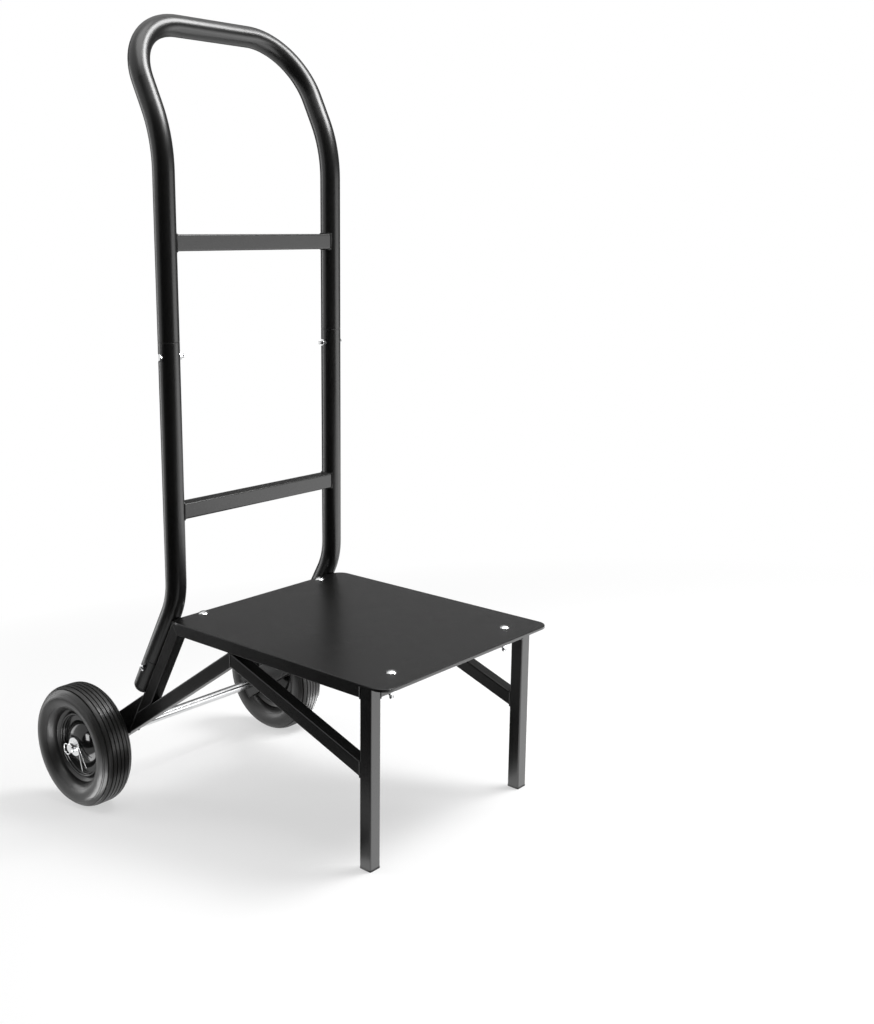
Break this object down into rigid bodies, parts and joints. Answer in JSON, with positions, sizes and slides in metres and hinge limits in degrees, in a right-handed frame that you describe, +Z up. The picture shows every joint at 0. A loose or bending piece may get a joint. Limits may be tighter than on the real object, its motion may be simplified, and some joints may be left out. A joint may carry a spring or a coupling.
{
  "type": "stacking chair cart",
  "caption": "Wheeled hand cart for stacked chairs: flat deck on a square-tube frame with short front legs, tall looped tube handle with crossbars, and rubber-tyred wheels on a fixed axle.",
  "frame": {"origin": "on the floor, under the middle of the parked cart's bounding box", "axes": "+Z up, +Y to the rear (the wheels and handle), -Y to the front edge of the deck, +X across, along the axle"},
  "size_m": [0.618, 0.9469, 1.5178],
  "materials": {
    "black_powder_coat": "semi-gloss black powder coat",
    "gloss_black_rim": "gloss black enamel",
    "zinc_hardware": "bright zinc plate",
    "tyre_rubber": "matt moulded rubber",
    "black_plastic": "moulded black plastic",
    "bush_plastic": "plain bearing plastic"
  },
  "bodies": {
    "frame": {"axle": "zinc_hardware", "axle_spacers": "zinc_hardware", "cotter_pins": "zinc_hardware", "deck_bolts": "zinc_hardware", "deck_nuts": "zinc_hardware", "deck_plate": "black_powder_coat", "deck_washers": "zinc_hardware", "front_cross_rail": "black_powder_coat", "left_axle_carrier": "black_powder_coat", "left_carrier_cap": "black_plastic", "left_foot_cap": "black_plastic", "left_front_brace": "black_powder_coat", "left_front_leg": "black_powder_coat", "left_handle_socket": "black_powder_coat", "left_lower_handle_tube": "black_powder_coat", "left_lower_spigot": "black_powder_coat", "left_rear_strut": "black_powder_coat", "left_rear_upright": "black_powder_coat", "left_side_rail": "black_powder_coat", "left_socket_cap": "black_plastic", "left_upper_spigot": "black_powder_coat", "lower_crossbar": "black_powder_coat", "rear_cross_rail": "black_powder_coat", "right_axle_carrier": "black_powder_coat", "right_carrier_cap": "black_plastic", "right_foot_cap": "black_plastic", "right_front_brace": "black_powder_coat", "right_front_leg": "black_powder_coat", "right_handle_socket": "black_powder_coat", "right_lower_handle_tube": "black_powder_coat", "right_lower_spigot": "black_powder_coat", "right_rear_strut": "black_powder_coat", "right_rear_upright": "black_powder_coat", "right_side_rail": "black_powder_coat", "right_socket_cap": "black_plastic", "right_upper_spigot": "black_powder_coat", "socket_bolts": "zinc_hardware", "socket_nuts": "zinc_hardware", "splice_bolts": "zinc_hardware", "splice_nuts": "zinc_hardware", "upper_crossbar": "black_powder_coat", "upper_handle": "black_powder_coat", "wheel_washers": "zinc_hardware"},
    "left_wheel": {"left_tyre": "tyre_rubber", "left_outer_rim_half": "gloss_black_rim", "left_inner_rim_half": "gloss_black_rim", "left_hub_sleeve": "black_powder_coat", "left_hub_bushes": "bush_plastic"},
    "right_wheel": {"right_tyre": "tyre_rubber", "right_outer_rim_half": "gloss_black_rim", "right_inner_rim_half": "gloss_black_rim", "right_hub_sleeve": "black_powder_coat", "right_hub_bushes": "bush_plastic"}
  },
  "joints": [
    {"name": "left_wheel_spin", "type": "hinge", "parent": "frame", "child": "left_wheel", "pos_m": [-0.272, 0.34747, 0.126], "axis": [1, 0, 0], "continuous": true},
    {"name": "right_wheel_spin", "type": "hinge", "parent": "frame", "child": "right_wheel", "pos_m": [0.272, 0.34747, 0.126], "axis": [1, 0, 0], "continuous": true}
  ]
}
